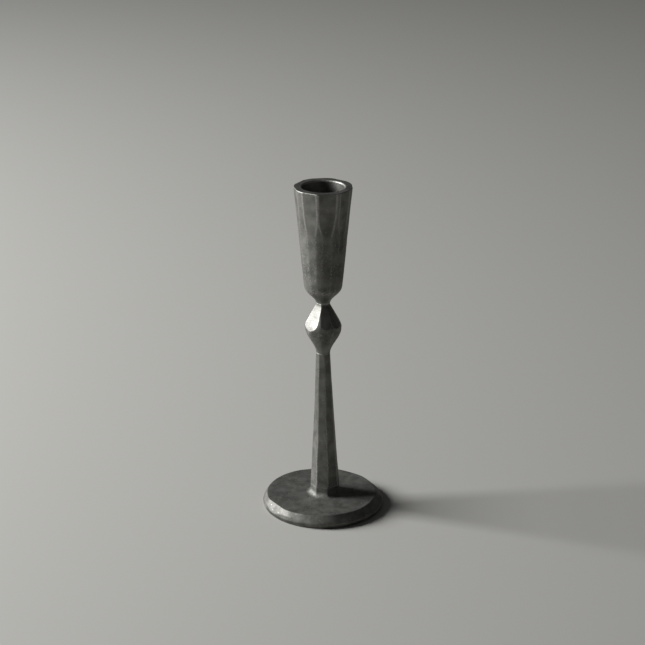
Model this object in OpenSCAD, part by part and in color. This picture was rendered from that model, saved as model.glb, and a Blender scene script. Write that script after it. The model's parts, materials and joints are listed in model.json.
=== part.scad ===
// Candle holder in dark cast iron for one 22 mm candle.
// Four castings stand on one another: foot, stem, knop and cup. Each was whittled
// in wood before casting, so its facets are flat, long and a little uneven.
// A stud through the knop draws the cup onto the stem, and a screw from below
// draws the foot onto the stem. The origin is under the middle of the foot.
// Directions round the axis are degrees from the front (-Y) towards +X.

/* [Candle cup] */
// Bore of the candle socket: a 22 mm candle with a little slack
socket_d = 22.3; // [18:0.1:27]
// Depth of the straight part of the socket
socket_depth = 22; // [16:0.5:30]
// Depth of the tapered bottom of the socket
socket_point_h = 3; // [1:0.5:4]
// Wall of the cup, measured across the rim
rim_wall = 4; // [3:0.1:6]
// Height of the cup's straight tapering wall
cup_wall_h = 54.3; // [44:0.1:66]
// Lean of the cup's wall from upright
cup_lean = 5.5; // [3:0.1:7]
// Height of the rounded underside, from the neck to the wall
cup_under_h = 9.2; // [7:0.1:12]
// How far the outer edge of the rim is rounded off
rim_round = 0.35; // [0.1:0.05:0.8]

/* [Knop] */
// Width of the knop across its belly, corner to corner
knop_d = 19.6; // [15:0.1:24]
// Height of the knop from neck to neck
knop_h = 28; // [22:0.5:34]
// Height of the belly as a share of the knop's height
knop_belly = 0.51; // [0.4:0.01:0.6]
// Width of both necks
neck_d = 7.7; // [6.4:0.1:10]

/* [Stem] */
// Height of the stem above its shoulder
stem_h = 76.5; // [60:0.5:95]
// Width of the stem at its shoulder
stem_base_d = 15.8; // [13:0.1:20]
// How far the stem's taper hollows: 1 is straight
stem_hollow = 1.2; // [1:0.05:1.5]
// How far the stem's shoulder stands off the axis of the cup, towards +X
stem_lean = 1; // [0:0.1:2]

/* [Foot] */
// Width of the foot at its widest
foot_d = 65.4; // [54:0.2:80]
// Thickness of the foot's disc
foot_t = 6.4; // [5.4:0.1:9]
// Height of the widest line above the foot's underside
foot_lip_h = 2; // [1.2:0.1:2.6]
// How far the underside is drawn in from the widest line
foot_undercut = 0.8; // [0.4:0.1:2]
// Mean width of the bevel round the top edge, seen from above
bevel_w = 3.2; // [2.4:0.1:4.5]
// How much wider the bevel is on the right than its mean, and narrower on the left
bevel_drift = 1.2; // [0:0.1:1.4]
// How much wider the bevel is at its one broad cut, at the front left
broad_extra = 0.9; // [0:0.1:1.2]
// Number of the other cuts of the bevel
small_cut_count = 13; // [10:1:18]
// Height of the boss above the disc
boss_h = 5.2; // [4.5:0.1:8]
// Radius of the hollow where the boss meets the disc
boss_fillet = 3; // [1.5:0.1:3.4]

/* [Joints] */
// Thread size of the stud through the knop
stud_d = 4; // [3:0.5:5]
// Length of stud in the cup and in the stem
stud_grip = 10; // [6:0.5:13]
// Thread size of the screw in the foot
screw_d = 5; // [4:0.5:6]
// Length of screw in the stem
screw_grip = 12; // [8:0.5:20]
// Width of the round tenon under the stem
tenon_d = 9; // [7:0.1:12]
// Length of the tenon
tenon_h = 3; // [2:0.1:3.5]
// Slack all round a thread or a tenon
seat_slack = 0.05; // [0.02:0.01:0.1]
// Slack all round a stud or screw that passes through plain
pass_slack = 0.2; // [0.1:0.05:0.4]

/* [Pad] */
// Thickness of the felt pad, which lies in a recess under the foot
pad_t = 1; // [0.8:0.1:1.6]
// How far the pad stands out below the foot
pad_proud = 0.4; // [0.2:0.1:0.6]
// How far the pad is set in from the widest line of the foot
pad_inset = 4; // [3:0.1:6]
// Slack all round the pad in its recess
pad_slack = 0.3; // [0.1:0.1:0.6]

/* [Hand work] */
// How far the corners of the stem and the knop stray, as a share of their radius
stray = 0.018; // [0:0.002:0.03]
// How far the corners of the cup stray, as a share of their radius
cup_stray = 0.008; // [0:0.002:0.02]
// Points drawn along each facet of a ring
facet_steps = 4; // [2:2:6]

/* [Hidden] */
$fn = 96;
eps = 0.01;

iron = "#3a3a38";
steel = "#8d9096";
felt = "#26272b";

// Edges between the facets, taken round each casting in the same order
cup_edges = [-47, -12, 30, 69, 118, 167, 215, 263];
knop_edges = [-80, -21, 8, 55, 100, 145, 190, 235];
stem_edges = [-84, -36, 12, 60, 105, 150, 195, 240];

// Directions of the cuts of the foot's bevel: the broad cut, with broad_clear degrees
// to its neighbours, and the small ones a little unevenly spaced round the rest
broad_cut = -57;
broad_clear = 31;
small_step = (360 - 2 * broad_clear) / (small_cut_count - 1);
small_sway = 3.5;
small_cuts = [for (k = [0 : small_cut_count - 1])
    broad_cut + broad_clear + small_step * k + small_sway * hand(k, 9)];

// Heights of the seats, from the ground up
z_under = pad_proud;
z_disc = z_under + foot_t;
z_shoulder = z_disc + boss_h;
z_low_neck = z_shoulder + stem_h;
z_high_neck = z_low_neck + knop_h;
z_wall = z_high_neck + cup_under_h;
z_rim = z_wall + cup_wall_h;

rim_r = socket_d / 2 + rim_wall;
rim_flat = 0.2;
cup_base_r = rim_r - cup_wall_h * tan(cup_lean);
neck_r = neck_d / 2;
stem_r = stem_base_d / 2;
foot_r = foot_d / 2;
pad_r = foot_r - pad_inset;

// Screw head, spring washer and the recess under the foot that holds them
head_d = 1.9 * screw_d;
head_h = 0.55 * screw_d;
head_key = 0.6 * screw_d;
washer_d = 1.84 * screw_d;
washer_t = 0.24 * screw_d;
washer_gap = 0.16 * screw_d;
recess_d = head_d + 2.5;
recess_h = head_h + washer_t + 0.6;
z_web = pad_t + recess_h;

// A repeatable stray between -1 and 1 for corner i of ring k
function hand(i, k) = sin(i * 137.5 + k * 211.3);

// Smooth rise from 0 to 1 that leaves and arrives level; fullness under 1 rises sooner
function swell(u, fullness = 1) = (1 - cos(180 * pow(u, fullness))) / 2;

function between(a, b, t) = a * (1 - t) + b * t;

// Edges set halfway along the facets of a list of edges
function half_on(edges) =
    [for (k = [0 : len(edges) - 1])
        (edges[k] + (k + 1 < len(edges) ? edges[k + 1] : edges[0] + 360)) / 2];

// A list that starts at its item n from the end and runs round
function roll_back(list, n) = [for (k = [0 : len(list) - 1]) list[(k + len(list) - n) % len(list)]];

function moved(points, by) = [for (point = points) point + by];

// Ring of points at height z, with a corner of about radius r at each edge.
// Between corners it is a round arc at flat 0 and a straight cut at flat 1.
function ring(z, r, edges, flat, seed, wander = stray) =
    let (n = len(edges))
    [for (k = [0 : n - 1])
        let (a0 = edges[k],
             a1 = k + 1 < n ? edges[k + 1] : edges[0] + 360,
             r0 = r * (1 + wander * hand(k, seed)),
             r1 = r * (1 + wander * hand((k + 1) % n, seed)))
        for (i = [0 : facet_steps - 1])
            let (t = i / facet_steps,
                 a = between(a0, a1, t),
                 cut = cos((a1 - a0) / 2) / cos(a - (a0 + a1) / 2),
                 reach = between(r0, r1, t) * between(1, cut, flat))
            [reach * sin(a), -reach * cos(a), z]];

// Solid skinned over a stack of rings with level ends
module loft(rings) {
    n = len(rings[0]);
    top = (len(rings) - 1) * n;
    walls = [for (j = [0 : len(rings) - 2], k = [0 : n - 1])
        let (a = j * n + k, b = j * n + (k + 1) % n)
            each [[a, a + n, b + n], [a, b + n, b]]];
    polyhedron(
        points = [for (level = rings) each level],
        faces = concat([[for (k = [0 : n - 1]) k]], walls, [[for (k = [n - 1 : -1 : 0]) top + k]]));
}

// The three rings where castings meet belong to both neighbours
high_neck = ring(z_high_neck, neck_r, between(cup_edges, knop_edges, 0.5), 0.7, 1);
low_neck = ring(z_low_neck, neck_r, between(knop_edges, stem_edges, 0.5), 0.8, 2);
shoulder = moved(ring(z_shoulder, stem_r, stem_edges, 0.95, 7), [stem_lean, 0, 0]);

// Rings of the cup's rounded underside, then of its wall up to the rounded rim.
// Each level of the wall is a share of its height, and how flat its facets are there:
// they are long cuts in the upper part and fade out below the middle.
function cup_rings() = concat(
    [high_neck],
    [for (u = [0.16 : 0.14 : 0.9])
        ring(z_high_neck + u * cup_under_h, between(neck_r, cup_base_r, swell(u)),
             between(between(cup_edges, knop_edges, 0.5), cup_edges, u), 0.5, 3 + u, cup_stray)],
    [for (level = [[0, 0.4], [0.05, 0.3], [0.2, 0.2], [0.36, 0.3], [0.5, 0.55], [0.7, 0.6], [0.9, 0.4]])
        ring(z_wall + level[0] * cup_wall_h, between(cup_base_r, rim_r, level[0]),
             cup_edges, level[1], 4 + level[0], cup_stray)],
    [ring(z_rim - rim_round, rim_r, cup_edges, rim_flat, 5, cup_stray),
     ring(z_rim, rim_r - rim_round, cup_edges, rim_flat, 5, cup_stray)]);

module cup() {
    color(iron)
    difference() {
        loft(cup_rings());
        candle_socket();
        translate([0, 0, z_high_neck - eps])
            cylinder(h = stud_grip + 1 + eps, r = stud_d / 2 + seat_slack);
    }
}

// Straight bore for the candle, with a lead-in at its mouth and a tapered bottom
module candle_socket() {
    lead_in = 0.5;
    z_bore = z_rim - socket_depth;
    translate([0, 0, z_bore])
        cylinder(h = socket_depth + 1, d = socket_d);
    translate([0, 0, z_rim - lead_in])
        cylinder(h = lead_in + 1, d1 = socket_d, d2 = socket_d + 2 * (lead_in + 1));
    translate([0, 0, z_bore - socket_point_h])
        cylinder(h = socket_point_h, d1 = socket_d / 2, d2 = socket_d);
}

// Long facets run down from the top neck over the belly, and others, set half a facet
// round, run up from the low neck, so that the belly's line zigzags where they meet.
// Each level is a share of that half's height, and how flat the facets are there.
function knop_rings() =
    let (low_h = knop_h * knop_belly, high_h = knop_h - low_h,
         low_edges = half_on(knop_edges), belly_r = knop_d / 2)
    concat(
        [low_neck],
        [for (level = [[0.14, 0.8], [0.32, 0.9], [0.5, 0.9], [0.68, 0.85], [0.9, 0.6]])
            roll_back(ring(z_low_neck + level[0] * low_h, between(neck_r, belly_r, swell(level[0], 0.93)),
                           low_edges, level[1], 5 + level[0]), facet_steps / 2)],
        [for (level = [[0.9, 0.6], [0.62, 0.85], [0.42, 0.9], [0.25, 0.9], [0.1, 0.8]])
            ring(z_high_neck - level[0] * high_h, between(neck_r, belly_r, swell(level[0], 0.75)),
                 knop_edges, level[1], 6 + level[0])],
        [high_neck]);

module knop() {
    color(iron)
    difference() {
        loft(knop_rings());
        translate([0, 0, z_low_neck - eps])
            cylinder(h = knop_h + 2 * eps, r = stud_d / 2 + pass_slack);
    }
}

// Each facet of the stem is five strokes of the knife, one above the other
function stem_rings() = concat(
    [shoulder],
    [for (t = [0.2 : 0.2 : 0.85])
        moved(ring(z_shoulder + t * stem_h, between(neck_r, stem_r, pow(1 - t, stem_hollow)),
                   between(stem_edges, between(knop_edges, stem_edges, 0.5), t), 0.95, 7 + t),
              [stem_lean * (1 - t), 0, 0])],
    [low_neck]);

// Places what stands on the line of the stem's shoulder
module under_stem() {
    translate([stem_lean, 0, 0]) children();
}

module stem() {
    color(iron)
    difference() {
        union() {
            loft(stem_rings());
            under_stem()
                translate([0, 0, z_shoulder - tenon_h])
                    cylinder(h = tenon_h + 1, d = tenon_d);
        }
        translate([0, 0, z_low_neck - stud_grip - 1])
            cylinder(h = stud_grip + 1 + eps, r = stud_d / 2 + seat_slack);
        under_stem()
            translate([0, 0, z_shoulder - tenon_h - eps])
                cylinder(h = screw_grip + 1 + eps, r = screw_d / 2 + seat_slack);
    }
}

// Half section of the foot's disc: an undercut lip, a steep side and a blunt top edge,
// which is left between the cuts of the bevel
module disc_section() {
    side_lean = 0.15 * bevel_w;
    blunt_w = 0.7 * bevel_w;
    blunt_h = 0.4 * foot_t;
    polygon([
        [0, z_under], [foot_r - foot_undercut, z_under], [foot_r, z_under + foot_lip_h],
        [foot_r - side_lean, z_disc - blunt_h], [foot_r - blunt_w, z_disc], [0, z_disc]]);
}

// The boss has the stem's own facets where the stem sits on it. They fade out down a
// hollow, which stops short of level so that it meets the disc at an edge.
function boss_rings() =
    let (toe = 75, step = 15, sink = 0.15, z_arc = z_disc + boss_fillet - sink)
    [for (turn = [toe + step : -step : -1])
        let (along = min(turn, toe))
        moved(ring(turn > toe ? z_disc - 1 : z_arc - boss_fillet * sin(along),
                   stem_r + boss_fillet * (1 - cos(along)),
                   stem_edges, 0.95 * (1 - along / 90), 7),
              [stem_lean, 0, 0])];

// Width of the bevel where it faces direction a
function bevel_at(a) = bevel_w + bevel_drift * sin(a);

// One flat cut of the bevel, facing direction a: it starts w in from the widest line
// on the top face, and comes out on the side just above that line
module bevel_cut(a, w) {
    drop = foot_t - foot_lip_h - 0.3;
    rotate([0, 0, a])
        translate([0, w - foot_r, z_disc])
            rotate([atan(drop / w), 0, 0])
                translate([-foot_r, -foot_r, 0])
                    cube([2 * foot_r, 2 * foot_r, foot_r / 2]);
}

module foot() {
    color(iron)
    difference() {
        union() {
            rotate_extrude() disc_section();
            loft(concat(boss_rings(), [shoulder]));
        }
        bevel_cut(broad_cut, bevel_at(broad_cut) + broad_extra);
        for (k = [0 : len(small_cuts) - 1])
            bevel_cut(small_cuts[k], bevel_at(small_cuts[k]) + 0.2 * hand(k, 8));
        translate([0, 0, z_under - eps])
            cylinder(h = pad_t - z_under + eps, r = pad_r + pad_slack);
        under_stem() {
            translate([0, 0, z_shoulder - tenon_h - 2 * seat_slack])
                cylinder(h = tenon_h + 1, r = tenon_d / 2 + seat_slack);
            translate([0, 0, pad_t - eps])
                cylinder(h = recess_h + eps, d = recess_d);
            translate([0, 0, pad_t])
                cylinder(h = z_shoulder - pad_t, r = screw_d / 2 + pass_slack);
        }
    }
}

module neck_stud() {
    chamfer = 0.5;
    color(steel)
    translate([0, 0, z_low_neck - stud_grip])
        rotate_extrude()
            polygon([
                [0, 0], [stud_d / 2 - chamfer, 0], [stud_d / 2, chamfer],
                [stud_d / 2, knop_h + 2 * stud_grip - chamfer],
                [stud_d / 2 - chamfer, knop_h + 2 * stud_grip], [0, knop_h + 2 * stud_grip]]);
}

// Domed head with a six-sided key hole, bearing up on the spring washer
module foot_screw() {
    z_bearing = z_web - washer_t;
    flank_h = 0.3 * head_h;
    dome_h = head_h - flank_h;
    dome_r = (pow(head_d / 2, 2) + pow(dome_h, 2)) / (2 * dome_h);
    color(steel)
    under_stem()
    difference() {
        union() {
            translate([0, 0, z_bearing - flank_h])
                cylinder(h = flank_h, d = head_d);
            intersection() {
                translate([0, 0, z_bearing - head_h + dome_r])
                    sphere(r = dome_r);
                translate([0, 0, z_bearing - head_h])
                    cylinder(h = dome_h + eps, d = head_d);
            }
            translate([0, 0, z_bearing - eps])
                cylinder(h = z_shoulder - tenon_h + screw_grip - z_bearing + eps, d = screw_d);
        }
        translate([0, 0, z_bearing - head_h - 1])
            cylinder(h = 0.6 * head_h + 1, d = head_key / cos(30), $fn = 6);
    }
}

// Flat ring with a gap, which faces direction gap_at
module spring_washer() {
    gap_at = 20;
    bore_r = screw_d / 2 + pass_slack;
    mean_r = (bore_r + washer_d / 2) / 2;
    gap_angle = 2 * asin(washer_gap / 2 / mean_r);
    color(steel)
    under_stem()
    translate([0, 0, z_web - washer_t])
        rotate([0, 0, gap_at + gap_angle / 2])
            rotate_extrude(angle = 360 - gap_angle)
                translate([bore_r, 0])
                    square([washer_d / 2 - bore_r, washer_t]);
}

module base_pad() {
    color(felt)
    cylinder(h = pad_t, r = pad_r);
}

cup();
knop();
stem();
foot();
neck_stud();
foot_screw();
spring_washer();
base_pad();
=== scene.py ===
"""Candle holder cast in iron from a knife-cut pattern: the surfaces and the finish of its four castings,
and the studio that they stand in.

Lengths are in millimetres while a surface is worked out, and in metres in every mesh and property.
Directions round the holder are degrees from the front (-Y) towards +X.
"""

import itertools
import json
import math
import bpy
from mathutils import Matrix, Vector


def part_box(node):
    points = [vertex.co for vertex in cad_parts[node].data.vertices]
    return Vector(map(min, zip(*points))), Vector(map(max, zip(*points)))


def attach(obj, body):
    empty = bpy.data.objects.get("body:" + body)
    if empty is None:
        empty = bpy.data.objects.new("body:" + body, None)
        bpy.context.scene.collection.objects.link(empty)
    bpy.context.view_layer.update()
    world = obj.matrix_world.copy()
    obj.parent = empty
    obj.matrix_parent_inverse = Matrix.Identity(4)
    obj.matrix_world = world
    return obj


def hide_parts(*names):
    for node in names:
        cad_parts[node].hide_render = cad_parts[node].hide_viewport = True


bl_info = {
    "name": "Knife-Cut Candle Holder",
    "version": (1, 0, 0),
    "blender": (4, 5, 0),
    "location": "View3D > Sidebar > Candle Holder",
    "description": "Skins a candle holder's castings with knife cuts, dents and cast grain",
    "category": "Add Mesh",
}

import bpy
import numpy as np
from mathutils import Vector
from mathutils.bvhtree import BVHTree

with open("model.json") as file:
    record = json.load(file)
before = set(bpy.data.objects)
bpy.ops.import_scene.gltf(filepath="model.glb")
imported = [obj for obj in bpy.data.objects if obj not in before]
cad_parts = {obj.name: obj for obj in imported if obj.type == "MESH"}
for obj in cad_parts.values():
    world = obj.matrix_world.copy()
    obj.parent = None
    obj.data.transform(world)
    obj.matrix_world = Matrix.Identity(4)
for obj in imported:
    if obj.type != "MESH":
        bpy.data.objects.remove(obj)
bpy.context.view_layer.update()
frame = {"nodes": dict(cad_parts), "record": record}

MM = 0.001
BODY = "root"

# Knife cuts round each casting: the direction of the edge where a cut starts, and how deep the cut goes as a
# share of a full flat. The last cut ends where the first one starts.
CUP_CUTS = ((-97, 0.35), (-54, 1.0), (-46, 0.95), (-12, 0.85), (30, 0.5), (69, 0.25), (118, 0.4), (167, 0.3),
            (215, 0.4))
KNOP_CUTS = ((-82, 1.0), (-20, 1.0), (-8, 0.9), (30, 0.9), (72, 0.95), (118, 0.9), (160, 1.0), (205, 0.9),
             (245, 0.95))
KNOP_LOW_CUTS = ((-50, 0.6), (-7, 0.5), (31, 0.7), (77, 0.5), (122, 0.7), (167, 0.6), (212, 0.7), (257, 0.5))
STEM_CUTS = ((-84, 0.9), (-36, 0.95), (12, 0.9), (60, 0.7), (105, 0.8), (150, 0.9), (195, 0.8), (240, 0.9))


def corners(node):
    """Lowest and highest corner of a CAD node, in mm."""
    low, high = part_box(node)
    return np.array(low) / MM, np.array(high) / MM


CUP, KNOP, STEM, FOOT = (corners(node) for node in ("cup", "knop", "stem", "foot"))
STUD, SCREW, WASHER, PAD = (
    corners(node) for node in ("neck_stud", "foot_screw", "spring_washer", "base_pad")
)
SOCKET = next(m for m in frame["record"]["mounts"] if m["name"] == "candle_socket")

Z_UNDER = FOOT[0][2]
Z_SHOULDER = FOOT[1][2]
Z_LOW_NECK = KNOP[0][2]
Z_HIGH_NECK = KNOP[1][2]
Z_RIM = CUP[1][2]
STEM_LEAN = (SCREW[0][0] + SCREW[1][0]) / 2
SOCKET_R = SOCKET["dims"]["r_mm"]
STUD_R = (STUD[1][0] - STUD[0][0]) / 2

# Hidden joints: radii of the screw, the tenon and the screw head's recess, and the slack of their fits
SCREW_R = 2.5
TENON_R = 4.5
RECESS_R = 6.0
SEAT_SLACK = 0.05
PASS_SLACK = 0.2
PAD_SLACK = 0.3
TENON_GAP = 0.1
HOLE_END_GAP = 1.0

# Distance in metres outside the castings from which their CAD solids are probed
PROBE_START = 0.1

# Middle of the knop's height, and where its upper cuts leave the belly, as shares of that height
KNOP_BELLY = 0.51
KNOP_TANGENT = 0.66

# The stage, in metres: the camera's place to the side, the point that the lamp faces and the way to the lamp
CAMERA_SIDE = -0.00034
LIT_POINT = (0, 0, 0.09)
WINDOW_WAY = (-0.885, 0.095, 0.42)
FLOOR_REACH = 4.0
PAPER_ROUGHNESS = 0.9


class HolderSizes(bpy.types.PropertyGroup):
    """Sizes that the frame doesn't give, and the handwork on the surfaces."""

    disc_height: bpy.props.FloatProperty(
        name="Disc height", description="Height of the flat top of the foot above the ground",
        default=6.8 * MM, min=0.0, unit="LENGTH", precision=4)
    fillet: bpy.props.FloatProperty(
        name="Fillet", description="Radius of the hollow where the stem's boss meets the foot",
        default=3.0 * MM, min=0.0, unit="LENGTH", precision=4)
    rim_round: bpy.props.FloatProperty(
        name="Rim rounding", description="Rounding of the outer edge of the rim",
        default=0.35 * MM, min=0.0, unit="LENGTH", precision=5)
    socket_lead: bpy.props.FloatProperty(
        name="Socket lead-in", description="Chamfer at the mouth of the candle socket",
        default=0.5 * MM, min=0.0, unit="LENGTH", precision=5)
    socket_taper: bpy.props.FloatProperty(
        name="Socket taper", description="Depth of the tapered bottom of the socket",
        default=3.0 * MM, min=0.0, unit="LENGTH", precision=4)
    edge_blunting: bpy.props.FloatProperty(
        name="Edge blunting", description="How much the edges between knife cuts are worn down",
        default=0.05 * MM, min=0.0, unit="LENGTH", precision=5)
    dent_depth: bpy.props.FloatProperty(
        name="Dent depth", description="Depth of the broad dents in the cup's lower half",
        default=0.12 * MM, min=0.0, unit="LENGTH", precision=5)
    grain_height: bpy.props.FloatProperty(
        name="Grain height", description="Height of the sand grain of the cast skin",
        default=0.022 * MM, min=0.0, unit="LENGTH", precision=6)
    pit_depth: bpy.props.FloatProperty(
        name="Pit depth", description="Depth of the small pits in the cast skin",
        default=0.10 * MM, min=0.0, unit="LENGTH", precision=5)


class HolderFinish(bpy.types.PropertyGroup):
    """Colours and gloss."""

    iron: bpy.props.FloatVectorProperty(
        name="Iron", description="Waxed black skin of the castings",
        default=(0.13, 0.13, 0.12), size=3, subtype="COLOR", min=0.0, max=1.0)
    rubbed: bpy.props.FloatVectorProperty(
        name="Rubbed iron", description="Edges where the black is rubbed thin",
        default=(0.40, 0.395, 0.375), size=3, subtype="COLOR", min=0.0, max=1.0)
    gloss: bpy.props.FloatProperty(
        name="Roughness", description="Roughness of the waxed iron on its smooth cuts",
        default=0.56, min=0.05, max=1.0, subtype="FACTOR")


class HolderStage(bpy.types.PropertyGroup):
    """Camera, light and floor."""

    lens: bpy.props.FloatProperty(
        name="Focal length", description="Focal length on a 36 mm wide sensor",
        default=111.07, min=1.0, unit="CAMERA")
    pitch: bpy.props.FloatProperty(
        name="Camera pitch", description="How far the camera looks down from level",
        default=math.radians(20.76), unit="ROTATION")
    camera_back: bpy.props.FloatProperty(
        name="Camera distance", description="Distance of the camera in front of the holder, along the floor",
        default=0.981, min=0.1, unit="LENGTH")
    camera_height: bpy.props.FloatProperty(
        name="Camera height", description="Height of the camera above the floor",
        default=0.477, min=0.0, unit="LENGTH")
    window_power: bpy.props.FloatProperty(
        name="Window power", description="Power of the soft lamp on the left",
        default=66.0, min=0.0, unit="POWER")
    window_width: bpy.props.FloatProperty(
        name="Window width", description="Width of the soft lamp",
        default=0.8, min=0.01, unit="LENGTH")
    window_distance: bpy.props.FloatProperty(
        name="Window distance", description="Distance of the soft lamp from the holder",
        default=1.8, min=0.2, unit="LENGTH")
    floor: bpy.props.FloatVectorProperty(
        name="Floor", description="Pale grey paper that the holder stands on",
        default=(0.40, 0.397, 0.374), size=3, subtype="COLOR", min=0.0, max=1.0)
    fill: bpy.props.FloatProperty(
        name="Fill", description="Strength of the dim light from the rest of the room",
        default=0.05, min=0.0, max=1.0)


# Random values that are the same on each run

SKEW = np.array(((0.36, 0.48, -0.80), (-0.80, 0.60, 0.0), (0.48, 0.64, 0.60)))


def scatter(cells, seed):
    """A repeatable value between -1 and 1 for each whole-numbered cell (..., 3)."""
    mixed = (cells * (73856093, 19349663, 83492791)).sum(axis=-1) + seed * 15485863
    mixed = ((mixed ^ (mixed >> 13)) & 0xFFFFFFFF) * 1274126177 & 0xFFFFFFFF
    mixed = (mixed ^ (mixed >> 16)) & 0xFFFF
    return mixed / 32767.5 - 1


def noise(spots, size, seed):
    """Smooth bumps between -1 and 1, about size across, at points (..., 3)."""
    place = spots @ SKEW / size
    cells = np.floor(place).astype(np.int64)
    part = place - cells
    ease = part * part * (3 - 2 * part)
    total = np.zeros(spots.shape[:-1])
    for step in itertools.product((0, 1), repeat=3):
        weight = np.prod(np.where(step, ease, 1 - ease), axis=-1)
        total += weight * scatter(cells + step, seed)
    return total


def cells_near(spots, size, seed):
    """Distance from each point to the nearest scattered seed, as a share of size, and that seed's value."""
    place = spots @ SKEW / size
    cells = np.floor(place).astype(np.int64)
    nearest = np.full(spots.shape[:-1], 9.0)
    value = np.zeros(spots.shape[:-1])
    for step in itertools.product((-1, 0, 1), repeat=3):
        home = cells + step
        seeds = np.stack([home[..., k] + 0.5 + 0.45 * scatter(home, seed + k) for k in range(3)], axis=-1)
        gap = np.linalg.norm(place - seeds, axis=-1)
        closer = gap < nearest
        nearest = np.where(closer, gap, nearest)
        value = np.where(closer, scatter(home, seed + 3), value)
    return nearest, value


# Shapes

def between(start, end, share):
    """The value that share of the way from start to end."""
    return start * (1 - share) + end * share


def ease(values, low, high):
    """Smooth rise from 0 at low to 1 at high."""
    share = np.clip((np.asarray(values, float) - low) / (high - low), 0, 1)
    return share * share * (3 - 2 * share)


def turned(angle):
    """An angle in degrees brought between -180 and 180."""
    return (angle + 180) % 360 - 180


def outline_of(node, heights, offset):
    """Reach of a casting's corners from its own line at each height, measured on its CAD solid. It is the
    reach that one probe in eight passes, so it follows the corners and not the flats."""
    tree = BVHTree.FromObject(frame["nodes"][node], bpy.context.evaluated_depsgraph_get())
    rays = np.radians(np.arange(0, 360, 7.5))
    reach = np.zeros((len(heights), len(rays)))
    for row, (height, off) in enumerate(zip(heights, offset)):
        for column, angle in enumerate(rays):
            way = Vector((math.sin(angle), -math.cos(angle), 0))
            start = Vector((off * MM, 0, height * MM)) + way * PROBE_START
            hit = tree.ray_cast(start, -way)[0]
            reach[row, column] = 0 if hit is None else (hit - Vector((off * MM, 0, height * MM))).length / MM
    return np.percentile(reach, 88, axis=1)


def lean_at(heights):
    """How far the line of the castings stands off the cup's axis."""
    return STEM_LEAN * np.clip((Z_LOW_NECK - np.asarray(heights, float)) / (Z_LOW_NECK - Z_SHOULDER), 0, 1)


def column_outline():
    """Heights and corner reach of the whole upright surface, from the boss to the rim."""
    heights, reach = [], []
    for node, low, high in (("stem", Z_SHOULDER, Z_LOW_NECK), ("knop", Z_LOW_NECK, Z_HIGH_NECK),
                            ("cup", Z_HIGH_NECK, Z_RIM - 0.4)):
        levels = np.arange(low + 0.05, high, 0.5)
        heights.append(levels)
        reach.append(outline_of(node, levels, lean_at(levels)))
    heights, reach = np.concatenate(heights), np.concatenate(reach)
    kernel = np.array((1, 2, 3, 2, 1)) / 9
    smooth = np.convolve(np.pad(reach, 2, mode="edge"), kernel, mode="valid")
    return heights, smooth


OUTLINE = column_outline()


def planed(turn, heights, outline, cuts, share, sway, depth, seed, blunt, bow=None):
    """Reach left by flat knife cuts round a casting. outline is the reach of its corners, and share scales
    how deep the cuts go (0 leaves the round). sway and depth are how unsteady the knife was, and blunt wears
    the edges. bow gives the reach of a cut that is straight along its length too, where that is more."""
    planes = [outline[:, None] * np.ones(len(turn))]
    for k, (start, full) in enumerate(cuts):
        stop = cuts[k + 1][0] if k + 1 < len(cuts) else cuts[0][0] + 360
        half = math.radians((stop - start) / 2)
        facing = (start + stop) / 2 + sway * stroke(heights, k, seed)
        far = outline * between(1, math.cos(half), full * share) + depth * stroke(heights, k, seed + 50)
        if bow is not None:
            far = np.maximum(far * 0.93, bow(heights, math.cos(half)))
        off = np.radians(turned(turn[None, :] - facing[:, None]))
        planes.append(far[:, None] / np.maximum(np.cos(off), 0.3))
    planes = np.stack(planes)
    least = planes.min(axis=0)
    return least - blunt * np.log(np.exp((least - planes) / blunt).sum(axis=0))


def knop_slope(heights, chord):
    """Reach of a straight cut down the knop's upper half. Its corners keep the belly's full width."""
    z_tangent = between(Z_LOW_NECK, Z_HIGH_NECK, KNOP_TANGENT)
    return np.interp(z_tangent, *OUTLINE) * chord + (z_tangent - heights) * math.tan(math.radians(28))


def stroke(heights, k, seed):
    """The unsteady way of knife k up the casting: slow drift, and short strokes that end in a small step."""
    phase = 2.4 * k + 1.7 * seed
    drift = 0.6 * np.sin(heights / 7.3 + phase) + 0.4 * np.sin(heights / 3.1 + 2 * phase)
    length = 11 + 3 * math.sin(phase)
    place = heights / length + phase
    step = np.floor(place)
    tilt = scatter(np.stack([step, step * 0 + k, step * 0], axis=-1).astype(np.int64), seed)
    return 0.7 * drift + 0.6 * tilt * (place - step - 0.5)


def column(turn, heights, blunt):
    """Reach of the upright surface of the castings at each height (rows) and direction (columns)."""
    outline = np.interp(heights, *OUTLINE) * 1.02
    stem = planed(turn, heights, outline, STEM_CUTS, 1, 3.0, 0.12, 1, 2 * blunt)
    low = planed(turn, heights, outline, KNOP_LOW_CUTS, 1, 2.0, 0.08, 2, 3 * blunt)
    high = planed(turn, heights, outline, KNOP_CUTS, 1, 1.0, 0.04, 3, blunt, knop_slope)
    wall = between(0.25, 1, ease(heights, Z_RIM - 26, Z_RIM - 12))
    cup = planed(turn, heights, outline, CUP_CUTS, wall, 1.0, 0.04, 4, blunt)
    middle = between(Z_LOW_NECK, Z_HIGH_NECK, KNOP_BELLY)
    reach = stem
    joins = ((low, Z_LOW_NECK, 2.5), (high, middle - 0.5, 1.2), (cup, Z_HIGH_NECK + 1, 3))
    for upper, height, spread in joins:
        share = ease(heights, height - spread, height + spread)[:, None]
        reach = between(reach, upper, share)
    return reach


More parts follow.
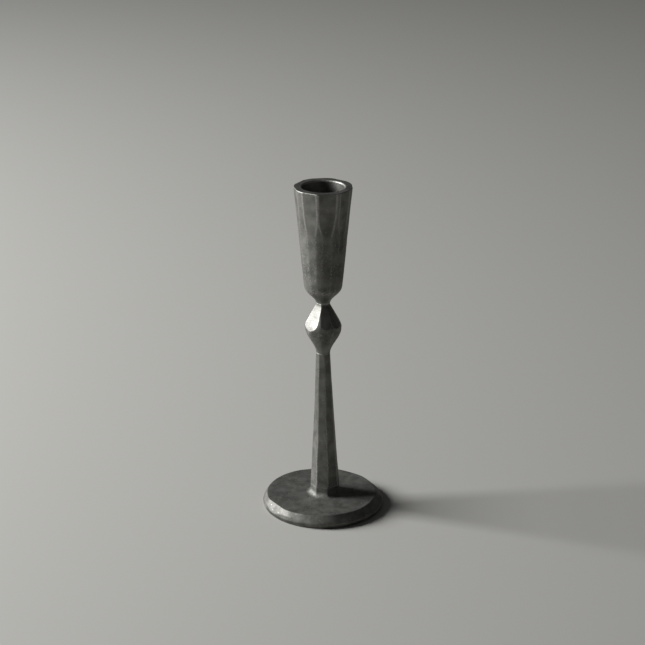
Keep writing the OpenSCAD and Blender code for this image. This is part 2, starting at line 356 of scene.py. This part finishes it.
class Section:
    """Rows of points along one casting, each a ring round its line. A row has its reach and height, the way
    out of the metal in degrees above level, its share of the surface relief, and its ring's offset."""

    def __init__(self, columns):
        self.turn = np.arange(columns) * 360 / columns - 180
        self.parts = []

    def add(self, reach, height, way, rough=0.0, offset=0.0):
        """Adds rows. Each value is a number, one per row, or one per point."""
        rows = max(np.atleast_1d(value).shape[0] for value in (reach, height, way, rough, offset))
        fields = []
        for value in (reach, height, way, rough, offset):
            value = np.asarray(value, float)
            value = value[:, None] if value.ndim == 1 else value
            fields.append(np.broadcast_to(value, (rows, len(self.turn))))
        self.parts.append(np.stack(fields))

    def line(self, corners, offset=0.0, way=0.0, step=2.0):
        """Plain rows down a polyline of (reach, height) corners. A pair close to each corner keeps it crisp."""
        reach, height = [], []
        for (r0, z0), (r1, z1) in zip(corners, corners[1:]):
            length = math.hypot(r1 - r0, z1 - z0)
            count = max(2, math.ceil(length / step) + 1)
            near = min(0.06 / length, 0.2)
            share = np.concatenate(([0, near], np.linspace(near, 1 - near, count)[1:-1], [1 - near]))
            reach.append(between(r0, r1, share))
            height.append(between(z0, z1, share))
        reach.append([corners[-1][0]])
        height.append([corners[-1][1]])
        self.add(np.concatenate(reach), np.concatenate(height), way, 0.0, offset)

    def finish(self):
        """Joins the rows that were added."""
        fields = np.concatenate(self.parts, axis=1)
        self.reach, self.height, way, self.rough, self.offset = fields
        self.way = np.radians(way)
        return self

    def points(self, relief=0.0):
        """The points in mm, with the relief standing out of the metal."""
        reach = self.reach + relief * np.cos(self.way)
        height = self.height + relief * np.sin(self.way)
        turn = np.radians(self.turn)
        return np.stack((self.offset + reach * np.sin(turn), -reach * np.cos(turn), height), axis=-1)


def standing_out(points, steps):
    """How far each point stands out from the mean of its neighbours that many steps away, in mm."""
    beside = (np.roll(points, steps, axis=1) + np.roll(points, -steps, axis=1)) / 2
    padded = np.pad(points, ((steps, steps), (0, 0), (0, 0)), mode="edge")
    above = (padded[2 * steps:] + padded[:-2 * steps]) / 2
    return ((points - (beside + above) / 2) * normals_of(points)).sum(axis=-1)


def normals_of(points):
    """Unit normals at rows of points."""
    across = np.roll(points, -1, axis=1) - np.roll(points, 1, axis=1)
    along = np.gradient(points, axis=0)
    normal = np.cross(across, along)
    return normal / np.maximum(np.linalg.norm(normal, axis=-1, keepdims=True), 1e-9)


def mesh_over(name, points, looped=False, fields=None):
    """Closed mesh over rows of points in mm. The last row of a looped stack joins its first, and the ends of
    any other close on a point. fields are named values of each point, for its material."""
    rows, columns = points.shape[:2]
    index = np.arange(rows * columns).reshape(rows, columns)
    lower, upper = (index, np.roll(index, -1, axis=0)) if looped else (index[:-1], index[1:])
    quads = np.stack((lower, np.roll(lower, -1, axis=1), np.roll(upper, -1, axis=1), upper), axis=-1)
    faces = quads.reshape(-1, 4).tolist()
    spots = points.reshape(-1, 3)
    if not looped:
        start, end = len(spots), len(spots) + 1
        spots = np.concatenate((spots, points[:1].mean(axis=1), points[-1:].mean(axis=1)))
        first, last = index[0], index[-1]
        faces += [(start, int(b), int(a)) for a, b in zip(first, np.roll(first, -1))]
        faces += [(end, int(a), int(b)) for a, b in zip(last, np.roll(last, -1))]
    mesh = bpy.data.meshes.new(name)
    mesh.from_pydata((spots * MM).tolist(), [], faces)
    mesh.polygons.foreach_set("use_smooth", np.ones(len(faces), bool))
    for field, values in (fields or {}).items():
        values = values.reshape(-1)
        values = np.concatenate((values, np.zeros(len(spots) - len(values))))
        mesh.attributes.new(field, "FLOAT", "POINT").data.foreach_set("value", values.astype(np.float32))
    mesh.validate()
    mesh.update()
    piece = bpy.data.objects.new(name, mesh)
    bpy.context.scene.collection.objects.link(piece)
    return piece


def place(piece, node, slot, material):
    """Dresses a piece, sets it on the frame's body and lets it stand for its CAD node."""
    piece.data.materials.append(material)
    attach(piece, BODY)
    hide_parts(node)
    return piece


# Handwork on the surfaces

def pits(spots, size, share, depth, seed):
    """Small round pits in that share of cells of this size."""
    near, value = cells_near(spots, size, seed)
    deep = (value > 1 - 2 * share) * (0.6 + 0.4 * value)
    return -depth * deep * np.clip(1 - (near / 0.22) ** 2, 0, 1)


def cast_skin(spots, sizes):
    """Sand grain and small pits of a rough casting."""
    grain = sizes.grain_height / MM
    return (grain * noise(spots, 0.95, 11) + 0.6 * grain * noise(spots, 0.5, 12)
            + pits(spots, 2.6, 0.16, sizes.pit_depth / MM, 13))


def column_relief(section, sizes):
    """Dents, tool marks and grain of the upright surface. It depends on the place alone, so that neighbouring
    castings meet without a step."""
    spots = section.points()
    height = section.height
    dents = sizes.dent_depth / MM
    lower_cup = ease(height, Z_HIGH_NECK + 2, Z_HIGH_NECK + 9) * (1 - ease(height, Z_RIM - 32, Z_RIM - 18))
    above_neck = ease(height, Z_LOW_NECK + 2, Z_LOW_NECK + 8)
    on_knop = above_neck * (1 - ease(height, Z_HIGH_NECK - 16, Z_HIGH_NECK - 10))
    low_stem = 1 - ease(height, Z_SHOULDER + 8, Z_SHOULDER + 40)
    relief = 0.35 * dents * noise(spots, 7.0, 21)
    relief += dents * lower_cup * (0.7 * noise(spots, 5.0, 22) + 0.45 * noise(spots, 2.4, 23))
    near, value = cells_near(spots, 3.2, 24)
    hollow = np.clip(1 - (near / 0.6) ** 2, 0, 1)
    relief -= dents * (0.9 * on_knop + 0.5 * low_stem) * hollow * (0.6 + 0.4 * value)
    relief += 0.5 * dents * on_knop * noise(spots, 1.6, 25)
    relief += (0.35 + 0.65 * np.maximum(np.maximum(lower_cup, on_knop), low_stem)) * cast_skin(spots, sizes)
    section.cast = np.maximum(np.maximum(lower_cup, on_knop), 0.6 * low_stem)
    return relief * section.rough


def fields_of(section, points):
    """What the iron's finish reads at each point: how far it stands out, and how rough it is."""
    return {"edge": standing_out(points, 2), "cast": section.cast}


class MakeCup(bpy.types.Operator):
    """Casts the cup, with its bored socket"""

    bl_idname = "holder.make_cup"
    bl_label = "Cup"

    def execute(self, context):
        sizes = context.scene.holder_sizes
        blunt = sizes.edge_blunting / MM
        rounding, lead, taper = sizes.rim_round / MM, sizes.socket_lead / MM, sizes.socket_taper / MM
        stud_r = STUD_R + SEAT_SLACK
        section = Section(256)
        section.line([(stud_r, STUD[1][2] + HOLE_END_GAP), (stud_r, Z_HIGH_NECK)])
        heights = np.linspace(Z_HIGH_NECK, Z_RIM - rounding, 262)
        wall = column(section.turn, heights, blunt)
        section.add(wall, heights, 0, 1)
        arc = np.radians(np.linspace(0, 90, 8)[1:])
        edge = wall[-1] - rounding * (1 - np.cos(arc))[:, None]
        section.add(edge, Z_RIM - rounding * (1 - np.sin(arc)), np.degrees(arc), 1)
        mouth = SOCKET_R + lead
        share = np.linspace(0, 1, 14)[1:, None]
        section.add(between(edge[-1], mouth, share), Z_RIM, 90, 1)
        share = np.linspace(0, 1, 4)[1:]
        section.add(between(mouth, SOCKET_R, share), between(Z_RIM, Z_RIM - lead, share), 135, 1)
        bottom = Z_RIM - lead - SOCKET["dims"]["length_mm"]
        levels = np.linspace(Z_RIM - lead, bottom, 62)[1:]
        section.add(SOCKET_R, levels, 180, 1)
        share = np.linspace(0, 1, 9)[1:]
        section.add(between(SOCKET_R, SOCKET_R / 2, share), between(bottom, bottom - taper, share), 135, 0.6)
        section.add(between(SOCKET_R / 2, 0.4, np.linspace(0, 1, 12)[1:]), bottom - taper, 90, 0.6)
        section.finish()
        points = section.points(column_relief(section, sizes))
        fields = fields_of(section, points)
        piece = mesh_over("cup_casting", points, fields=fields)
        place(piece, "cup", "dark_iron", iron(context.scene.holder_finish))
        return {"FINISHED"}


class MakeKnop(bpy.types.Operator):
    """Casts the knop, with its hole for the stud"""

    bl_idname = "holder.make_knop"
    bl_label = "Knop"

    def execute(self, context):
        sizes = context.scene.holder_sizes
        blunt = sizes.edge_blunting / MM
        hole_r = STUD_R + PASS_SLACK
        section = Section(288)
        heights = np.linspace(Z_LOW_NECK, Z_HIGH_NECK, 190)
        wall = column(section.turn, heights, blunt)
        section.add(wall, heights, 0, 1, lean_at(heights))
        section.line([(hole_r, Z_HIGH_NECK), (hole_r, Z_LOW_NECK)])
        section.finish()
        points = section.points(column_relief(section, sizes))
        fields = fields_of(section, points)
        piece = mesh_over("knop_casting", points, looped=True, fields=fields)
        place(piece, "knop", "dark_iron", iron(context.scene.holder_finish))
        return {"FINISHED"}


class MakeStem(bpy.types.Operator):
    """Casts the stem, with its tenon and its two threaded holes"""

    bl_idname = "holder.make_stem"
    bl_label = "Stem"

    def execute(self, context):
        sizes = context.scene.holder_sizes
        blunt = sizes.edge_blunting / MM
        screw_r = SCREW_R + SEAT_SLACK
        z_tenon = STEM[0][2]
        section = Section(240)
        section.line([(screw_r, SCREW[1][2] + HOLE_END_GAP), (screw_r, z_tenon), (TENON_R, z_tenon),
                      (TENON_R, Z_SHOULDER)], STEM_LEAN)
        heights = np.linspace(Z_SHOULDER, Z_LOW_NECK, 350)
        wall = column(section.turn, heights, blunt)
        section.add(wall, heights, 0, 1, lean_at(heights))
        stud_r = STUD_R + SEAT_SLACK
        section.line([(stud_r, Z_LOW_NECK), (stud_r, STUD[0][2] - HOLE_END_GAP)])
        section.finish()
        points = section.points(column_relief(section, sizes))
        fields = fields_of(section, points)
        piece = mesh_over("stem_casting", points, fields=fields)
        place(piece, "stem", "dark_iron", iron(context.scene.holder_finish))
        return {"FINISHED"}


def round_off(reach, turn, low, high, spread):
    """Reach round the foot with the small cuts worn away, except between directions low and high."""
    width = int(round(spread / (turn[1] - turn[0])))
    kernel = np.hanning(2 * width + 3)[1:-1]
    padded = np.concatenate((reach[:, -width:], reach, reach[:, :width]), axis=1)
    smooth = np.stack([np.convolve(row, kernel / kernel.sum(), mode="valid") for row in padded])
    kept = ease(turn, low - 6, low) * (1 - ease(turn, high, high + 10))
    return between(smooth, reach, kept)


def foot_edge(turn, heights):
    """Reach of the foot's cut edge, measured on its CAD solid."""
    tree = BVHTree.FromObject(frame["nodes"]["foot"], bpy.context.evaluated_depsgraph_get())
    reach = np.zeros((len(heights), len(turn)))
    for row, height in enumerate(heights):
        for spot, angle in enumerate(np.radians(turn)):
            way = Vector((math.sin(angle), -math.cos(angle), 0))
            hit = tree.ray_cast(Vector((0, 0, height * MM)) + way * PROBE_START, -way)[0]
            reach[row, spot] = math.hypot(hit.x, hit.y) / MM
    return round_off(reach, turn, -84, -38, 16)


class MakeFoot(bpy.types.Operator):
    """Casts the foot, with its boss, its cut edge and the recesses under it"""

    bl_idname = "holder.make_foot"
    bl_label = "Foot"

    def execute(self, context):
        sizes = context.scene.holder_sizes
        blunt = sizes.edge_blunting / MM
        z_disc = sizes.disc_height / MM
        fillet = sizes.fillet / MM
        section = Section(480)
        turn = section.turn
        tenon_r = TENON_R + SEAT_SLACK
        pass_r = SCREW_R + PASS_SLACK
        z_socket = STEM[0][2] - TENON_GAP
        z_recess = PAD[1][2]
        z_web = WASHER[1][2]
        pad_hole_r = (PAD[1][0] - PAD[0][0]) / 2 + PAD_SLACK
        section.line([(pad_hole_r, z_recess), (RECESS_R, z_recess), (RECESS_R, z_web), (pass_r, z_web),
                      (pass_r, z_socket), (tenon_r, z_socket), (tenon_r, Z_SHOULDER)], STEM_LEAN)
        heights = np.linspace(Z_SHOULDER, z_disc + fillet, 16)
        wall = column(turn, heights, blunt)
        section.add(wall, heights, 0, 1, STEM_LEAN)
        arc = np.radians(np.linspace(0, 90, 30)[1:])
        round_r = wall[-1].mean()
        share = ease(np.degrees(arc), 0, 80)[:, None]
        reach = between(wall[-1], round_r, share) + fillet * (1 - np.cos(arc))[:, None]
        section.add(reach, z_disc + fillet * (1 - np.sin(arc)), np.degrees(arc), 1, STEM_LEAN)
        side = np.concatenate((np.linspace(z_disc - 0.02, 2.6, 34), np.linspace(2.6, Z_UNDER + 0.02, 12)[1:]))
        edge = foot_edge(turn, side)
        share = np.linspace(0, 1, 58)[1:-1, None]
        section.add(between(reach[-1], edge[0], share), z_disc, 90, 1, STEM_LEAN * (1 - share))
        section.add(edge, side, np.linspace(60, -20, len(side)), 1)
        rim_r = edge[-1]
        share = np.linspace(0, 1, 6)[1:, None]
        section.add(between(rim_r, pad_hole_r, share), Z_UNDER, -90, 0.5)
        section.line([(pad_hole_r, Z_UNDER + 0.05), (pad_hole_r, z_recess - 0.05)])
        section.finish()
        points = section.points(column_relief(section, sizes))
        fields = fields_of(section, points)
        piece = mesh_over("foot_casting", points, looped=True, fields=fields)
        place(piece, "foot", "dark_iron", iron(context.scene.holder_finish))
        return {"FINISHED"}


# Materials

def add(tree, kind, inputs=None, **settings):
    """A new node. inputs are values, or the sockets that feed them, by name or number."""
    made = tree.nodes.new(kind)
    for name, value in settings.items():
        setattr(made, name, value)
    for key, value in (inputs or {}).items():
        if isinstance(value, bpy.types.NodeSocket):
            tree.links.new(value, made.inputs[key])
        else:
            made.inputs[key].default_value = value
    return made


def blank(name):
    """A new material with its tree, its shader and the object's own coordinates in metres."""
    made = bpy.data.materials.new(name)
    made.use_nodes = True
    tree = made.node_tree
    return made, tree, tree.nodes["Principled BSDF"], add(tree, "ShaderNodeTexCoord").outputs["Object"]


def speckle(tree, spot, size, detail=3.0, stretch=(1, 1, 1)):
    """Noise with grains of about size metres, drawn out along an axis by stretch."""
    scaled = add(tree, "ShaderNodeMapping", {"Vector": spot, "Scale": stretch}).outputs[0]
    grains = {"Vector": scaled, "Scale": 1 / size, "Detail": detail}
    return add(tree, "ShaderNodeTexNoise", grains).outputs["Fac"]


def ramp(tree, value, low, high, start=0.0, end=1.0):
    """The value brought from the range low..high to the range start..end, and kept in it."""
    return add(tree, "ShaderNodeMapRange", {"Value": value, "From Min": low, "From Max": high,
                                            "To Min": start, "To Max": end}).outputs[0]


def math_node(tree, operation, first, second):
    """The result of a sum, a product or the like of two values."""
    return add(tree, "ShaderNodeMath", {0: first, 1: second}, operation=operation).outputs[0]


def iron(finish):
    """Waxed black cast iron: grain and specks in the rough skin, faint scratches on the smooth cuts, and
    edges rubbed brighter."""
    made = bpy.data.materials.get("waxed_cast_iron")
    if made:
        return made
    made, tree, shader, spot = blank("waxed_cast_iron")
    edge = add(tree, "ShaderNodeAttribute", attribute_name="edge").outputs["Fac"]
    cast = add(tree, "ShaderNodeAttribute", attribute_name="cast").outputs["Fac"]
    fine = speckle(tree, spot, 0.5 * MM, 4.0)
    patch = speckle(tree, spot, 6 * MM, 4.0)
    scratch = speckle(tree, spot, 0.35 * MM, 2.0, (1, 1, 0.12))
    flakes = add(tree, "ShaderNodeTexVoronoi", {"Vector": spot, "Scale": 1 / (1.6 * MM)})
    flake_value = add(tree, "ShaderNodeSeparateColor", {0: flakes.outputs["Color"]}).outputs[0]
    is_flake = ramp(tree, flake_value, 0.86, 0.9)
    flake = math_node(tree, "MULTIPLY", ramp(tree, flakes.outputs["Distance"], 0.22, 0.12), is_flake)
    worn = ramp(tree, edge, 0.003, 0.03)
    worn = math_node(tree, "MULTIPLY", worn, ramp(tree, fine, 0.35, 0.65, 0.3, 1.0))
    worn = math_node(tree, "MAXIMUM", worn, math_node(tree, "MULTIPLY", flake, 0.8))
    clouds = ramp(tree, patch, 0.35, 0.65, 0.0, 0.35)
    bare = math_node(tree, "MAXIMUM", worn, clouds)
    colours = {0: bare, 6: (*finish.iron, 1), 7: (*finish.rubbed, 1)}
    colour = add(tree, "ShaderNodeMix", colours, data_type="RGBA")
    shader.inputs["Metallic"].default_value = 1.0
    tree.links.new(colour.outputs[2], shader.inputs["Base Color"])
    rough = ramp(tree, cast, 0, 1, finish.gloss, finish.gloss + 0.16)
    rough = math_node(tree, "ADD", rough, ramp(tree, fine, 0.3, 0.7, -0.05, 0.07))
    rough = math_node(tree, "SUBTRACT", rough, math_node(tree, "MULTIPLY", worn, 0.08))
    tree.links.new(rough, shader.inputs["Roughness"])
    grain = math_node(tree, "MULTIPLY", fine, ramp(tree, cast, 0, 1, 0.35, 1.0))
    height = math_node(tree, "ADD", grain, math_node(tree, "MULTIPLY", scratch, 0.35))
    bump = add(tree, "ShaderNodeBump", {"Height": height, "Strength": 0.6, "Distance": 0.12 * MM})
    tree.links.new(bump.outputs[0], shader.inputs["Normal"])
    return made


class SetStage(bpy.types.Operator):
    """Lays the floor, and sets the window lamp and the camera"""

    bl_idname = "holder.set_stage"
    bl_label = "Stage"

    def execute(self, context):
        scene = context.scene
        stage = scene.holder_stage
        scene.view_settings.view_transform = "Standard"
        camera_data = bpy.data.cameras.new("camera")
        camera_data.lens = stage.lens
        camera_data.sensor_width = 36
        camera = bpy.data.objects.new("camera", camera_data)
        camera.location = (CAMERA_SIDE, -stage.camera_back, stage.camera_height)
        camera.rotation_euler = (math.pi / 2 - stage.pitch, 0, 0)
        scene.collection.objects.link(camera)
        scene.camera = camera

        lamp_data = bpy.data.lights.new("window", "AREA")
        lamp_data.energy = stage.window_power
        lamp_data.size = stage.window_width
        lamp = bpy.data.objects.new("window", lamp_data)
        way = Vector(WINDOW_WAY).normalized()
        lamp.location = Vector(LIT_POINT) + way * stage.window_distance
        lamp.rotation_euler = way.to_track_quat("Z", "Y").to_euler()
        scene.collection.objects.link(lamp)

        mesh = bpy.data.meshes.new("floor")
        corner_ways = ((-1, -1), (1, -1), (1, 1), (-1, 1))
        mesh.from_pydata([(x * FLOOR_REACH, y * FLOOR_REACH, 0) for x, y in corner_ways], [], [(0, 1, 2, 3)])
        floor = bpy.data.objects.new("floor", mesh)
        scene.collection.objects.link(floor)
        made = bpy.data.materials.new("grey_paper")
        made.use_nodes = True
        shader = made.node_tree.nodes["Principled BSDF"]
        shader.inputs["Base Color"].default_value = (*stage.floor, 1)
        shader.inputs["Roughness"].default_value = PAPER_ROUGHNESS
        mesh.materials.append(made)

        world = bpy.data.worlds.new("room")
        world.use_nodes = True
        background = world.node_tree.nodes["Background"]
        background.inputs["Color"].default_value = (1, 1, 1, 1)
        background.inputs["Strength"].default_value = stage.fill
        scene.world = world
        return {"FINISHED"}


OPERATORS = (MakeFoot, MakeStem, MakeKnop, MakeCup, SetStage)
GROUPS = {"holder_sizes": HolderSizes, "holder_finish": HolderFinish, "holder_stage": HolderStage}


class HolderPanel(bpy.types.Panel):
    """Buttons and settings of the candle holder"""

    bl_idname = "VIEW3D_PT_candle_holder"
    bl_label = "Candle Holder"
    bl_space_type = "VIEW_3D"
    bl_region_type = "UI"
    bl_category = "Candle Holder"

    def draw(self, context):
        for operator in OPERATORS:
            self.layout.operator(operator.bl_idname)
        for name, group in GROUPS.items():
            box = self.layout.box()
            for prop in group.__annotations__:
                box.prop(getattr(context.scene, name), prop)


def register():
    for item in (*GROUPS.values(), *OPERATORS, HolderPanel):
        bpy.utils.register_class(item)
    for name, group in GROUPS.items():
        setattr(bpy.types.Scene, name, bpy.props.PointerProperty(type=group))


def unregister():
    for name in GROUPS:
        delattr(bpy.types.Scene, name)
    for item in (HolderPanel, *reversed(OPERATORS), *GROUPS.values()):
        bpy.utils.unregister_class(item)


def main():
    register()
    for operator in OPERATORS:
        group, name = operator.bl_idname.split(".")
        getattr(getattr(bpy.ops, group), name)()


if __name__ == "__main__":
    main()
